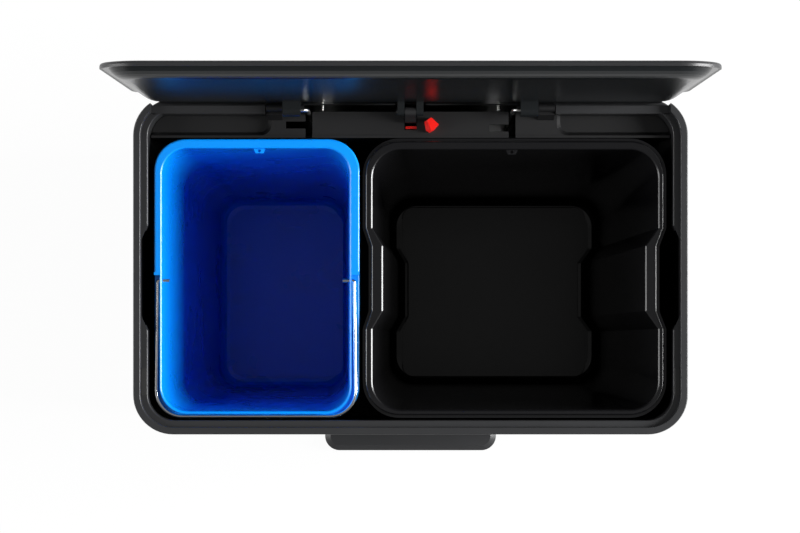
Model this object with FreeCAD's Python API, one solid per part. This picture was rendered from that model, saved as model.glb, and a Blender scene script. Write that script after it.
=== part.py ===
import FreeCAD, Part
import math
import os

V = FreeCAD.Vector
X_AXIS, Y_AXIS, Z_AXIS = V(1, 0, 0), V(0, 1, 0), V(0, 0, 1)

# Two-bucket pedal bin, lid open. Millimetres. X to the right, Y to the back, Z up.
# Everything is built about the middle of the casing and moved to the middle of its box at the end.
# Heights called "drop" count down from the flat top of the rim.

# ---- casing and rim ----
WIDTH = 555.0
DEPTH = 339.0
CORNER_R = 40.0
RIM_Z = 635.0
COLLAR_DROP = 48.0
RIM_WALL = 4.0
RIM_EDGE_R = 1.0
FLAT_BAND = 7.2
STEP_BAND = 6.6
STEP_DROP = 8.0
RIM_PLATE = 3.0
RIM_SKIRT = 2.5
RIM_SKIRT_DROP = 34.0
SHELL_INSET = 1.0
SHELL_WALL = 1.5
TONGUE_WALL = 2.4
TONGUE_LENGTH = 14.0
FIT = 0.1
NOTCH_FRONT, NOTCH_BACK, NOTCH_SLANT = -50.7, 25.8, 15.0
RELIEF_HALF = 260.5
RELIEF_FRONT = 160.4
RELIEF_DROP = 28.0
REAR_WALL_DROP = 11.0
REAR_WALL = 8.0

# ---- base ----
FOOT_HEIGHT = 4.0
FOOT_R = 14.0
FOOT_INSET = 42.0
BASE_TOP = 64.0
BASE_SEAM = 58.0
BASE_WALL = 5.0
BASE_FLOOR = 4.0
PEDAL_GAP_HALF = 111.0
PEDAL_GAP_TOP = 56.0
RIB_WALL = 3.0
RIB_HEIGHT = 16.0

# ---- lid and its hinge ----
OPEN_DEG = 88.6
HINGE_Y = 158.5
HINGE_DROP = 14.0
LID_GAP = 0.8
LID_EDGE = 4.7
LID_DOME = 3.0
DOME_START, DOME_END = 3.5, 80.0
LID_WALL = 2.5
LID_EDGE_R = 2.6
PAN_START = 7.8
PAN_FLAT = 26.0
PAN_DEPTH = 10.0
PAN_WALL = 2.5
PAN_STEPS = 6
DOME_STEPS = 5
MIN_CORNER_R = 2.0
PAN_TAIL_HALF = 251.0
PIN_R = 2.5
KNUCKLE_R = 4.4
LUG_R = 5.6
LUG_IN, LUG_OUT = 110.0, 127.6
KNUCKLE_IN, KNUCKLE_OUT = 129.0, 145.0
RUNNING = 0.06
SIDE_PLAY = 0.4
CRANK_R = 18.0
CRANK_DEG = 77.5
CRANK_BOSS_R = 6.8
EAR_IN, EAR_OUT = 6.0, 13.0
EAR_R = 4.2
LINK_CRANK_R = 11.0
LINK_CRANK_DEG = 65.0
LINK_PIN_R = 1.8

# ---- hinge deck ----
DECK_FRONT = 129.2
DECK_HALF = 262.0
DECK_DROP = 28.0
DECK_PLATE = 3.0
POCKET_DROP = 38.0
POCKET_LEFT, POCKET_RIGHT = 140.5, 148.0
POCKET_STRIP = 2.6
POCKET_SLOPE = 4.0
POCKET_R = 11.0
APRON_Z = 580.0
TROUGH_Y = 155.8
TROUGH_HALF = 128.5
LIP_WALL = 2.4
LIP_DROP = 25.0
LIP_LENGTH = 34.0
APRON_GAP_HALF = 11.0
WIRE_SLOT_WIDTH = 7.0
SIDE_SLOT = 23.2
SIDE_SLOT_WIDTH = 7.2
LEFT_SLOT_Y, RIGHT_SLOT_Y = 138.8, 135.7
WINDOW_BACK_PLAY = 0.7
WINDOW_FRONT = 137.4

# ---- lift wire and pedal ----
WIRE_R = 2.0
WIRE_X = 102.7
WIRE_BEND_R = 6.0
WIRE_END_X = 125.5
AXLE_Y = 12.7
AXLE_Z = 30.0
AXLE_R = 4.0
REAR_ARM = 135.0
LEVER_REST_DEG = 4.0
ARM_X = 84.0
ARM_WIDTH = 8.0
ARM_HEIGHT = 15.0
EAR_SLOT_FRONT, EAR_SLOT_BACK = 7.6, 3.0
EAR_SLOT_DOWN, EAR_SLOT_UP = 2.6, 6.0
BLOCK_X0, BLOCK_X1 = 97.0, 112.0
PAD_WIDTH = 212.0
PAD_REACH = 42.0
PAD_BACK = 172.0
PAD_HEIGHT = 15.0
PAD_BEVEL = 7.0
PAD_CORNER_R = 18.0

# ---- stay link, its guide and the stay-open latch ----
LINK_HALF = 5.5
LINK_TOE_FRONT = 9.5
LINK_TOE_DROP = 31.0
LINK_BACK = 4.4
LINK_TAIL = 40.0
TAIL_PIN_R = 2.4
TAIL_PLAY = 0.7
TAIL_ROOM_HALF = 16.0
LINK_SHARE = 0.2
GUIDE_WALL = 2.5
LATCH_X, LATCH_Y = 20.5, 141.5
LATCH_STEM_R = 4.0
LATCH_ARM_WALL = 3.0
BAR_HALF = 5.0
BAR_FRONT, BAR_BACK = 138.6, 141.4
KNOB_HEIGHT = 13.0

# ---- buckets ----
BUCKET_RIM_DROP = 14.0
BUCKET_WALL = 2.2
BUCKET_BEND = 11.0
BEND_STEPS = 4
BUCKET_LIFT_OFF = 0.4
FLANGE = 3.0
FLANGE_LIP = 8.0
FLANGE_ROUND = 1.8
FLANGE_LIP_WALL = 2.0
BLUE_OUTER = (-257.9, -51.3, -152.9, 127.1)
BLUE_MOUTH = (-249.9, -61.3, -146.7, 117.9)
BLUE_FLOOR = (-231.2, -78.8, -132.0, 96.7)
BLUE_PANEL = (-212.6, -82.5, -118.2, 79.4)
BLUE_CORNER_R = 32.0
BLACK_OUTER = (-45.2, 254.9, -150.4, 125.1)
BLACK_MOUTH = (-37.9, 248.8, -145.1, 116.6)
BLACK_FLOOR = (-23.8, 227.9, -126.4, 96.1)
BLACK_PANEL = (-9.2, 212.0, -118.3, 87.0)
BLACK_CORNER_R = 34.0
PANEL_R = 12.0
MOUTH_ROUND = 1.6
SKIRT_OUT = 3.0
SKIRT_DROP = 6.5
WAIST_FRONT, WAIST_BACK, WAIST_SLANT = -45.8, 19.5, 18.0
WAIST_INNER = (10.5, 13.0)
WAIST_OUTER = (6.0, 7.0)
WAIST_PANEL = (6.8, 9.0)
PANEL_RISE = 4.0
EYELET_HALF = 6.5
EYELET_REACH = 4.6
EYELET_DROP = 7.0
EYELET_HOLE_R = 1.5
BLUE_EYELET_X, BLACK_EYELET_X = -152.3, 102.2

# ---- bail ----
BAIL_R = 1.9
BAIL_Y = -15.15
BAIL_GAP = 0.3
BAIL_LEDGE_DROP = 7.0
BAIL_RISE_Y = -9.6
BAIL_HOOK = 7.0
BAIL_OUT = 4.6
BAIL_SPLAY = 1.8
BAIL_CORNER_R = 26.0
BAIL_BEND_R = 2.1
BAIL_WALL = 2.2

# ---- screws ----
SCREW_R = 2.0
SCREW_HEAD_R = 3.8
SCREW_HEAD = 2.4
SCREW_LENGTH = 9.4
SHORT_SCREW = 4.8

# ---- places worked out from the values above ----
HALF_W, HALF_D = WIDTH / 2, DEPTH / 2
OPENING_INSET = FLAT_BAND + STEP_BAND
HINGE_Z = RIM_Z - HINGE_DROP
LID_Z = RIM_Z + LID_GAP
PAN_Z = LID_Z - PAN_DEPTH
DECK_Z = RIM_Z - DECK_DROP
DECK_UNDER = DECK_Z - DECK_PLATE
REAR_WALL_Y = RELIEF_FRONT - REAR_WALL
BUCKET_Z = RIM_Z - BUCKET_RIM_DROP
BUCKET_FOOT = BASE_TOP + BUCKET_LIFT_OFF
BAIL_Z = BUCKET_Z - BAIL_LEDGE_DROP + BAIL_GAP + BAIL_R
LINK_TOE_Z = DECK_UNDER


# ---- plain solids ----
def box(x0, x1, y0, y1, z0, z1):
    return Part.makeBox(x1 - x0, y1 - y0, z1 - z0, V(x0, y0, z0))


def rod(start, end, radius):
    return Part.makeCylinder(radius, (end - start).Length, start, end - start)


def fuse(shapes):
    return shapes[0].multiFuse(shapes[1:]).removeSplitter() if len(shapes) > 1 else shapes[0]


def polygon(points, direction):
    """Prism of a flat polygon, pushed along direction."""
    return Part.Face(Part.makePolygon(points + [points[0]])).extrude(direction)


def side_plate(points_yz, x0, x1):
    """Plate with the given outline in the Y-Z plane, from x0 to x1."""
    return polygon([V(x0, y, z) for y, z in points_yz], V(x1 - x0, 0, 0))


def front_plate(points_xz, y0, y1):
    return polygon([V(x, y0, z) for x, z in points_xz], V(0, y1 - y0, 0))


def both_sides(shape):
    return [shape, shape.mirror(V(0, 0, 0), X_AXIS)]


# ---- outlines seen from above: a rectangle with round corners, sides waisted where asked ----
def corner(cx, cy, r, start_deg, z):
    points = [V(cx + r * math.cos(math.radians(a)), cy + r * math.sin(math.radians(a)), z)
              for a in (start_deg, start_deg + 45, start_deg + 90)]
    return Part.Arc(*points).toShape()


def outline(rect, r, z, waist=None):
    x0, x1, y0, y1 = rect
    front, back = WAIST_FRONT, WAIST_BACK
    arcs = [corner(x1 - r, y0 + r, r, -90, z), corner(x1 - r, y1 - r, r, 0, z),
            corner(x0 + r, y1 - r, r, 90, z), corner(x0 + r, y0 + r, r, 180, z)]
    right, left = [], []
    if waist:
        ys = (front - WAIST_SLANT, front, back, back + WAIST_SLANT)
        right = [V(x1 - i, y, z) for y, i in zip(ys, (0, waist[1], waist[1], 0))]
        left = [V(x0 + i, y, z) for y, i in zip(reversed(ys), (0, waist[0], waist[0], 0))]
    edges = []
    for i, extra in enumerate((right, [], left, [])):
        end, start = arcs[i].Vertexes[1].Point, arcs[(i + 1) % 4].Vertexes[0].Point
        stops = [end] + extra + [start]
        edges.append(arcs[i])
        edges += [Part.makeLine(a, b) for a, b in zip(stops, stops[1:])]
    return Part.Wire(edges)


def slab(rect, r, z0, z1, waist=None):
    return Part.Face(outline(rect, r, z0, waist)).extrude(V(0, 0, z1 - z0))


def inset(rect, side, front=None, back=None):
    x0, x1, y0, y1 = rect
    front = side if front is None else front
    back = side if back is None else back
    return (x0 + side, x1 - side, y0 + front, y1 - back)


CASING = (-HALF_W, HALF_W, -HALF_D, HALF_D)


def ring_slab(step, z0, z1):
    """The casing's outline, drawn in by step, from z0 to z1."""
    return slab(inset(CASING, step), CORNER_R - step, z0, z1)


# ---- wires ----
def bent_rod(points, radius, bend_r):
    """Round rod along straight runs joined by tangent bends."""
    edges, last = [], points[0]
    for before, here, after in zip(points, points[1:], points[2:]):
        back, on = (before - here).normalize(), (after - here).normalize()
        half_turn = (math.pi - back.getAngle(on)) / 2
        cut = bend_r * math.tan(half_turn)
        start, end = here + back * cut, here + on * cut
        inward = (back + on).normalize()
        middle = here + inward * (bend_r / math.cos(half_turn) - bend_r)
        edges += [Part.makeLine(last, start), Part.Arc(start, middle, end).toShape()]
        last = end
    edges.append(Part.makeLine(last, points[-1]))
    path = Part.Wire(edges)
    section = Part.Wire(Part.makeCircle(radius, points[0], points[1] - points[0]))
    return path.makePipeShell([section], True, False)


# ---- screws: the head's seat is at the given point and the shank runs along the direction ----
def screw(seat, direction, play=0.0, length=SCREW_LENGTH):
    unit = V(direction).normalize()
    shank = rod(seat, seat + unit * (length + play), SCREW_R + play)
    head = rod(seat - unit * (SCREW_HEAD + play), seat, SCREW_HEAD_R + play)
    return fuse([shank, head])


def screws(places, play=0.0):
    return [screw(seat, direction, play) for seat, direction in places]


def guide_screws(play):
    """Short screws that hold the link guide to the deck's front lip."""
    return [screw(seat + V(0, GUIDE_WALL + FIT, 0), direction, play, SHORT_SCREW)
            for seat, direction in GUIDE_SCREWS]


def drilled(shape, places):
    return shape.cut(screws(places, FIT / 2))


# ---- motion: where the lid's two crank pins stand when it has closed by some degrees ----
def crank(radius, open_deg, closed_by):
    angle = math.radians(open_deg - closed_by)
    return HINGE_Y - radius * math.cos(angle), HINGE_Z + radius * math.sin(angle)


def open_up(shape):
    """Swing a piece from the shut lid to the open one."""
    turned = shape.copy()
    turned.rotate(V(0, HINGE_Y, HINGE_Z), X_AXIS, -OPEN_DEG)
    return turned


WIRE_TOP_Y, WIRE_TOP_Z = crank(CRANK_R, CRANK_DEG, 0)
LINK_Y, LINK_Z = crank(LINK_CRANK_R, LINK_CRANK_DEG, 0)
WIRE_FOOT_Y = AXLE_Y + REAR_ARM * math.cos(math.radians(LEVER_REST_DEG))
WIRE_FOOT_Z = AXLE_Z + REAR_ARM * math.sin(math.radians(LEVER_REST_DEG))

DECK_SCREWS = [(V(s * x, REAR_WALL_Y - LIP_WALL - FIT, RIM_Z - 47.0), Y_AXIS)
               for s in (-1, 1) for x in (170.0, 245.0)]
GUIDE_SCREWS = [(V(s * (LINK_HALF + 9.0), DECK_FRONT + LIP_WALL, DECK_UNDER - 20.0), -Y_AXIS)
                for s in (-1, 1)]
CASING_SCREWS = [(V(s * x, HALF_D - SHELL_INSET, z), -Y_AXIS)
                 for s in (-1, 1) for x in (90.0, 215.0)
                 for z in (BASE_SEAM + 7.0, RIM_Z - COLLAR_DROP - 7.0)]
BLOCK_SCREWS = [(V(s * (BLOCK_X0 + BLOCK_X1) / 2, AXLE_Y + t * 15.0, BASE_TOP - BASE_FLOOR - 6.0), Z_AXIS)
                for s in (-1, 1) for t in (-1, 1)]
PAD_SCREWS = [(V(s * 60.0, -HALF_D - 18.0, 0.0), Z_AXIS) for s in (-1, 1)]


# ---- base ----
def base_tray():
    body = ring_slab(0, FOOT_HEIGHT, BASE_TOP).cut(ring_slab(BASE_WALL, FOOT_HEIGHT, BASE_TOP - BASE_FLOOR))
    tongue_in = SHELL_INSET + SHELL_WALL + FIT
    body = body.cut(ring_slab(0, BASE_SEAM, BASE_TOP).cut(ring_slab(tongue_in, BASE_SEAM, BASE_TOP)))
    upstand = ring_slab(tongue_in, BASE_TOP - 1, BASE_SEAM + TONGUE_LENGTH)
    upstand = upstand.cut(ring_slab(tongue_in + TONGUE_WALL, BASE_TOP - 1, BASE_SEAM + TONGUE_LENGTH))
    posts = [rod(V(s * (HALF_W - FOOT_INSET), t * (HALF_D - FOOT_INSET), FOOT_HEIGHT),
                 V(s * (HALF_W - FOOT_INSET), t * (HALF_D - FOOT_INSET), BASE_TOP - 1), FOOT_R)
             for s in (-1, 1) for t in (-1, 1)]
    blue, black = bucket_foot(BLUE), bucket_foot(BLACK)
    divider_x = (blue[1] + black[0]) / 2
    ribs = [box(divider_x - s * 18 - RIB_WALL / 2, divider_x - s * 18 + RIB_WALL / 2, blue[2] + 30, blue[3] - 30,
                BASE_TOP - 1, BASE_TOP + RIB_HEIGHT) for s in (-1, 1)]
    ribs.append(box(blue[0] + 20, black[1] - 20, blue[2] - 9 - RIB_WALL, blue[2] - 9,
                    BASE_TOP - 1, BASE_TOP + RIB_HEIGHT))
    ribs.append(panel_seat())
    body = fuse([body, upstand] + posts + ribs)
    gap = box(-PEDAL_GAP_HALF, PEDAL_GAP_HALF, -HALF_D - 1, -HALF_D + BASE_WALL + 1, FOOT_HEIGHT - 1, PEDAL_GAP_TOP)
    slots = [box(s * WIRE_X - 7, s * WIRE_X + 7, WIRE_FOOT_Y - 9, WIRE_FOOT_Y + 11, BASE_TOP - BASE_FLOOR - 1,
                 BASE_TOP + 1) for s in (-1, 1)]
    plugs = [plug for plug in foot_plugs(FIT)]
    body = body.cut([gap] + slots + plugs)
    return drilled(body, CASING_SCREWS + BLOCK_SCREWS)


def panel_seat():
    """Upright groove that holds the foot of the rear panel."""
    front = box(-DECK_HALF + 20, DECK_HALF - 20, DECK_FRONT - RIB_WALL - FIT, DECK_FRONT - FIT,
                BASE_TOP - 1, BASE_TOP + RIB_HEIGHT)
    return front


def foot_plugs(play=0.0):
    return [rod(V(s * (HALF_W - FOOT_INSET), t * (HALF_D - FOOT_INSET), FOOT_HEIGHT - 0.01),
                V(s * (HALF_W - FOOT_INSET), t * (HALF_D - FOOT_INSET), FOOT_HEIGHT + 12 + play), 3.5 + play)
            for s in (-1, 1) for t in (-1, 1)]


def rubber_feet():
    pads = [rod(V(s * (HALF_W - FOOT_INSET), t * (HALF_D - FOOT_INSET), 0),
                V(s * (HALF_W - FOOT_INSET), t * (HALF_D - FOOT_INSET), FOOT_HEIGHT), FOOT_R)
            for s in (-1, 1) for t in (-1, 1)]
    return Part.makeCompound([fuse([pad, plug]) for pad, plug in zip(pads, foot_plugs())])


# ---- casing ----
def outer_shell():
    top = RIM_Z - COLLAR_DROP
    shell = ring_slab(SHELL_INSET, BASE_SEAM, top).cut(ring_slab(SHELL_INSET + SHELL_WALL, BASE_SEAM, top))
    return drilled(shell, CASING_SCREWS)


def finger_notch():
    """What is cut out of the right side of the rim's step so that fingers reach the bucket."""
    x_out, x_in = HALF_W - FLAT_BAND, HALF_W - OPENING_INSET - 5
    front, back, slant = NOTCH_FRONT, NOTCH_BACK, NOTCH_SLANT
    low = RIM_Z - COLLAR_DROP - TONGUE_LENGTH - 1
    points = [V(x_in, front - slant, low), V(x_out - STEP_BAND, front - slant, low), V(x_out, front, low),
              V(x_out, back, low), V(x_out - STEP_BAND, back + slant, low), V(x_in, back + slant, low)]
    return polygon(points, V(0, 0, RIM_Z + 1 - low))


def top_rim():
    low = RIM_Z - COLLAR_DROP
    step, under = RIM_Z - STEP_DROP, RIM_Z - STEP_DROP - RIM_PLATE
    rim = ring_slab(0, low, RIM_Z).cut([ring_slab(FLAT_BAND, step, RIM_Z),
                                        ring_slab(OPENING_INSET, low, RIM_Z)])
    rounded = [e for e in rim.Edges if e.BoundBox.ZMin > RIM_Z - 0.1]
    rounded += [e for e in rim.Edges if abs(e.BoundBox.ZMin - step) < 0.1 and e.BoundBox.ZLength < 0.1
                and max(abs(e.BoundBox.XMax), abs(e.BoundBox.XMin)) < HALF_W - OPENING_INSET + 0.1
                and max(abs(e.BoundBox.YMax), abs(e.BoundBox.YMin)) < HALF_D - OPENING_INSET + 0.1]
    rim = rim.makeFillet(RIM_EDGE_R, rounded)
    hollow = ring_slab(RIM_WALL, low, under).cut(ring_slab(OPENING_INSET - RIM_SKIRT, low, under))
    rim = rim.cut([hollow, ring_slab(RIM_WALL, low, RIM_Z - RIM_SKIRT_DROP)])
    tongue_in = SHELL_INSET + SHELL_WALL + FIT
    tongue = ring_slab(tongue_in, low - TONGUE_LENGTH, low + RIM_WALL)
    tongue = tongue.cut(ring_slab(tongue_in + TONGUE_WALL, low - TONGUE_LENGTH, low + RIM_WALL))
    wall_half = HALF_W - OPENING_INSET + RIM_SKIRT / 2
    rear_wall = box(-wall_half, wall_half, REAR_WALL_Y, RELIEF_FRONT, low - TONGUE_LENGTH, RIM_Z - REAR_WALL_DROP)
    ledge = box(-RELIEF_HALF - 3, RELIEF_HALF + 3, REAR_WALL_Y + 1, HALF_D - RIM_WALL + 1,
                RIM_Z - RELIEF_DROP - RIM_PLATE, RIM_Z - RELIEF_DROP)
    outer = ring_slab(0, low - TONGUE_LENGTH, RIM_Z)
    inside = ring_slab(tongue_in, low - TONGUE_LENGTH, RIM_Z)
    rim = rim.fuse([tongue, rear_wall.common(inside), ledge.common(outer)])
    relief = box(-RELIEF_HALF, RELIEF_HALF, RELIEF_FRONT, HALF_D + 1, RIM_Z - RELIEF_DROP, RIM_Z + 1)
    behind = box(-wall_half, wall_half, HALF_D - OPENING_INSET - 5, REAR_WALL_Y, low, RIM_Z + 1)
    above = box(-RELIEF_HALF, RELIEF_HALF, REAR_WALL_Y - 1, RELIEF_FRONT + 1, RIM_Z - REAR_WALL_DROP, RIM_Z + 1)
    centre = box(-KNUCKLE_OUT - 1, KNUCKLE_OUT + 1, REAR_WALL_Y - 1, RELIEF_FRONT, low - TONGUE_LENGTH - 1, RIM_Z + 1)
    trough = box(-TROUGH_HALF, TROUGH_HALF, RELIEF_FRONT - 1, HALF_D - RIM_WALL, low, RIM_Z)
    tail_room = box(-TAIL_ROOM_HALF, TAIL_ROOM_HALF, RELIEF_FRONT - 1, HALF_D - RIM_WALL, low - TONGUE_LENGTH - 1, low)
    rim = rim.cut([relief, behind.common(ring_slab(OPENING_INSET, low, RIM_Z + 1)), above, centre, trough, tail_room]
                  + both_sides(finger_notch())).removeSplitter()
    return drilled(rim, DECK_SCREWS + CASING_SCREWS)


def rim_bumpers():
    pad = slab((HALF_W - OPENING_INSET + 0.6, HALF_W - FLAT_BAND - 0.4, -131.0, -103.0), 2.0,
               RIM_Z - STEP_DROP, RIM_Z - STEP_DROP + 2.4)
    return Part.makeCompound(both_sides(pad))


# ---- hinge deck behind the buckets ----
def wire_slots(z0, z1):
    """Slot that each lift wire swings in, with the side slot that its hook was passed through."""
    half = WIRE_SLOT_WIDTH / 2
    cuts = [box(s * WIRE_X - half, s * WIRE_X + half, DECK_FRONT - 1, TROUGH_Y + 1, z0, z1) for s in (-1, 1)]
    cuts.append(box(-WIRE_X - SIDE_SLOT, -WIRE_X, LEFT_SLOT_Y, LEFT_SLOT_Y + SIDE_SLOT_WIDTH, z0, z1))
    cuts.append(box(WIRE_X - SIDE_SLOT, WIRE_X, RIGHT_SLOT_Y, RIGHT_SLOT_Y + SIDE_SLOT_WIDTH, z0, z1))
    return cuts


def deck_pocket(x0, x1, grow):
    """Sunk tray in the deck with sloped ends; grow makes the tray's underside."""
    floor_z = RIM_Z - POCKET_DROP - grow
    top = (x0 - grow, x1 + grow, DECK_FRONT + POCKET_STRIP - grow, REAR_WALL_Y + 30)
    low_rect = inset(top, POCKET_SLOPE)
    wires = [outline(low_rect, POCKET_R - POCKET_SLOPE / 2, floor_z), outline(top, POCKET_R, DECK_Z + 0.01)]
    return Part.makeLoft(wires, True, True)


def hinge_deck():
    back = REAR_WALL_Y - FIT
    low = DECK_UNDER - LIP_LENGTH
    plate = box(-DECK_HALF, DECK_HALF, DECK_FRONT, back, DECK_UNDER, DECK_Z)
    centre = box(-KNUCKLE_OUT, KNUCKLE_OUT, back - 1, TROUGH_Y, DECK_UNDER, DECK_Z)
    ends = ((-DECK_HALF - 20, -POCKET_LEFT), (POCKET_RIGHT, DECK_HALF + 20))
    span = box(-DECK_HALF, DECK_HALF, DECK_FRONT, back, low, DECK_Z)
    trays = [deck_pocket(x0, x1, DECK_PLATE).common(span) for x0, x1 in ends]
    lip = box(-DECK_HALF, DECK_HALF, DECK_FRONT, DECK_FRONT + LIP_WALL, low, RIM_Z - LIP_DROP)
    flanges = both_sides(box(KNUCKLE_OUT + 10, DECK_HALF, back - LIP_WALL, back, RIM_Z - COLLAR_DROP - 8, DECK_UNDER))
    apron = box(-KNUCKLE_OUT, KNUCKLE_OUT, TROUGH_Y - LIP_WALL, TROUGH_Y, APRON_Z, DECK_Z)
    apron = apron.cut(box(-APRON_GAP_HALF, APRON_GAP_HALF, TROUGH_Y - 5, TROUGH_Y + 1, 0, DECK_UNDER))
    web = side_plate([(TROUGH_Y - 9, DECK_Z - 1), (TROUGH_Y - 4.5, HINGE_Z), (HINGE_Y, HINGE_Z - 1),
                      (HINGE_Y + 3, HINGE_Z - 4.5), (TROUGH_Y, DECK_UNDER - 6), (TROUGH_Y - 6, DECK_UNDER - 6)],
                     KNUCKLE_IN, KNUCKLE_OUT)
    knuckle = fuse([web, rod(V(KNUCKLE_IN, HINGE_Y, HINGE_Z), V(KNUCKLE_OUT, HINGE_Y, HINGE_Z), KNUCKLE_R)])
    deck = plate.fuse([centre, lip, apron] + trays + flanges + both_sides(knuckle))
    window = box(-LINK_HALF - WINDOW_BACK_PLAY, LINK_HALF + WINDOW_BACK_PLAY, WINDOW_FRONT, TROUGH_Y + 1,
                 APRON_Z - 1, DECK_Z + 1)
    stem = rod(V(LATCH_X, LATCH_Y, DECK_UNDER - 1), V(LATCH_X, LATCH_Y, DECK_Z + 1), LATCH_STEM_R + RUNNING)
    pins = [rod(V(s * (LUG_IN - 3), HINGE_Y, HINGE_Z), V(s * (KNUCKLE_OUT - 3), HINGE_Y, HINGE_Z), PIN_R + FIT / 4)
            for s in (-1, 1)]
    hollows = [deck_pocket(x0, x1, 0) for x0, x1 in ends]
    deck = deck.cut(wire_slots(APRON_Z - 1, RIM_Z) + hollows + [window, stem] + pins)
    reach = box(-KNUCKLE_OUT, KNUCKLE_OUT, HALF_D - 40, HINGE_Y + 12, low - 1, RIM_Z)
    trimmed = deck.common(ring_slab(OPENING_INSET + FIT, low - 1, RIM_Z).fuse(reach))
    return drilled(trimmed.removeSplitter(), DECK_SCREWS).cut(guide_screws(FIT / 2))


def rear_panel():
    """Upright cover between the buckets and the lift wires."""
    top = DECK_UNDER - LIP_LENGTH
    panel = box(-DECK_HALF + 4, DECK_HALF - 4, DECK_FRONT, DECK_FRONT + LIP_WALL, BASE_TOP, top)
    tab = box(-200.0, 200.0, DECK_FRONT + LIP_WALL, DECK_FRONT + 2 * LIP_WALL, top - 20, top + 16)
    guides = [box(x - 22, x + 22, DECK_FRONT + LIP_WALL, DECK_FRONT + 2 * LIP_WALL + 1, top - 1, top + 17)
              for x in (-WIRE_X, 0, WIRE_X)]
    return fuse([panel, tab.cut(guides)]).cut(guide_screws(FIT))


def hinge_pins():
    def pin(s):
        shank = rod(V(s * (LUG_IN - 1), HINGE_Y, HINGE_Z), V(s * (KNUCKLE_OUT - 3), HINGE_Y, HINGE_Z), PIN_R)
        head = rod(V(s * (LUG_IN - 3), HINGE_Y, HINGE_Z), V(s * (LUG_IN - SIDE_PLAY), HINGE_Y, HINGE_Z), PIN_R + 1.4)
        return fuse([shank, head])
    return Part.makeCompound([pin(-1), pin(1)])


# ---- lid ----
def pillow(start, end, depth, low, sign, steps, play=0.0):
    """Shallow dish or dome: from the rim's inset start to the flat at inset end, along an arc."""
    width = end - start
    arc_r = (width ** 2 + depth ** 2) / (2 * depth)
    wires = []
    for i in range(steps + 1):
        across = width * i / steps
        z = low + sign * (arc_r - math.sqrt(arc_r ** 2 - across ** 2)) + play
        step = end - across + play
        wires.append(outline(inset(CASING, step), max(CORNER_R - step, MIN_CORNER_R), z))
    return Part.makeLoft(wires, True, True)


def lid_shell():
    edge_z = LID_Z + LID_EDGE
    plate = ring_slab(0, LID_Z, edge_z)
    plate = plate.makeFillet(LID_EDGE_R, [e for e in plate.Edges if e.BoundBox.ZMin > edge_z - 0.1])
    dome = pillow(DOME_START, DOME_END, LID_DOME, edge_z + LID_DOME, -1, DOME_STEPS)
    inside = pillow(LID_WALL + FIT, DOME_END, LID_DOME, edge_z + LID_DOME - LID_WALL, -1, DOME_STEPS)
    hollow = ring_slab(LID_WALL, LID_Z - 1, edge_z - LID_WALL)
    return open_up(plate.fuse(dome).cut([hollow, inside]).removeSplitter())


def pan_bulge(play):
    """Bulge under the lid; play draws it in all round."""
    return pillow(PAN_START, PAN_FLAT, PAN_DEPTH, PAN_Z, 1, PAN_STEPS, play)


def hinge_lug(s):
    crank_y, crank_z = crank(CRANK_R, CRANK_DEG, OPEN_DEG)
    x0, x1 = sorted((s * LUG_IN, s * LUG_OUT))
    root = PAN_Z + PAN_WALL / 2
    slab_pts = [(crank_y - CRANK_BOSS_R, crank_z), (crank_y - CRANK_BOSS_R, root),
                (HINGE_Y + LUG_R, root), (HINGE_Y + LUG_R, HINGE_Z),
                (HINGE_Y, HINGE_Z - LUG_R), (crank_y, crank_z - CRANK_BOSS_R)]
    lug = fuse([side_plate(slab_pts, x0, x1),
                rod(V(x0, HINGE_Y, HINGE_Z), V(x1, HINGE_Y, HINGE_Z), LUG_R),
                rod(V(x0, crank_y, crank_z), V(x1, crank_y, crank_z), CRANK_BOSS_R)])
    return lug.cut([rod(V(x0 - 1, HINGE_Y, HINGE_Z), V(x1 + 1, HINGE_Y, HINGE_Z), PIN_R + RUNNING),
                    rod(V(x0 - 1, crank_y, crank_z), V(x1 + 1, crank_y, crank_z), WIRE_R + RUNNING)])


def link_ear(s):
    ear_y, ear_z = crank(LINK_CRANK_R, LINK_CRANK_DEG, OPEN_DEG)
    x0, x1 = sorted((s * EAR_IN, s * EAR_OUT))
    root = PAN_Z + PAN_WALL / 2
    plate = side_plate([(ear_y - EAR_R, ear_z), (ear_y - EAR_R - 3, root), (ear_y + EAR_R + 6, root),
                        (ear_y + EAR_R, ear_z)], x0, x1)
    ear = fuse([plate, rod(V(x0, ear_y, ear_z), V(x1, ear_y, ear_z), EAR_R)])
    return ear.cut(rod(V(x0 - 1, ear_y, ear_z), V(x1 + 1, ear_y, ear_z), LINK_PIN_R + FIT / 4))


def lid_liner():
    flange = ring_slab(LID_WALL + FIT, LID_Z, LID_Z + LID_EDGE - LID_WALL - FIT)
    tail = box(-PAN_TAIL_HALF, PAN_TAIL_HALF, HALF_D - 60, HALF_D - LID_WALL - FIT, PAN_Z, LID_Z + 1)
    tail = tail.common(ring_slab(LID_WALL + FIT, PAN_Z, LID_Z + 1))
    tail_hollow = box(-PAN_TAIL_HALF + PAN_WALL, PAN_TAIL_HALF - PAN_WALL, HALF_D - 70,
                      HALF_D - LID_WALL - FIT - PAN_WALL, PAN_Z + PAN_WALL, LID_Z + PAN_WALL + 1)
    core = pan_bulge(PAN_WALL).fuse(ring_slab(PAN_START + PAN_WALL, LID_Z + PAN_WALL - 0.5, LID_Z + PAN_WALL + 1))
    pan = flange.fuse([pan_bulge(0), tail]).cut([core, tail_hollow])
    parts = [hinge_lug(-1), hinge_lug(1), link_ear(-1), link_ear(1)]
    return open_up(pan.fuse(parts).removeSplitter())


def centre_pin():
    shank = rod(V(-EAR_OUT, LINK_Y, LINK_Z), V(EAR_OUT, LINK_Y, LINK_Z), LINK_PIN_R)
    head = rod(V(-EAR_OUT - 1.4, LINK_Y, LINK_Z), V(-EAR_OUT, LINK_Y, LINK_Z), LINK_PIN_R + 1.2)
    return fuse([shank, head])


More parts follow.
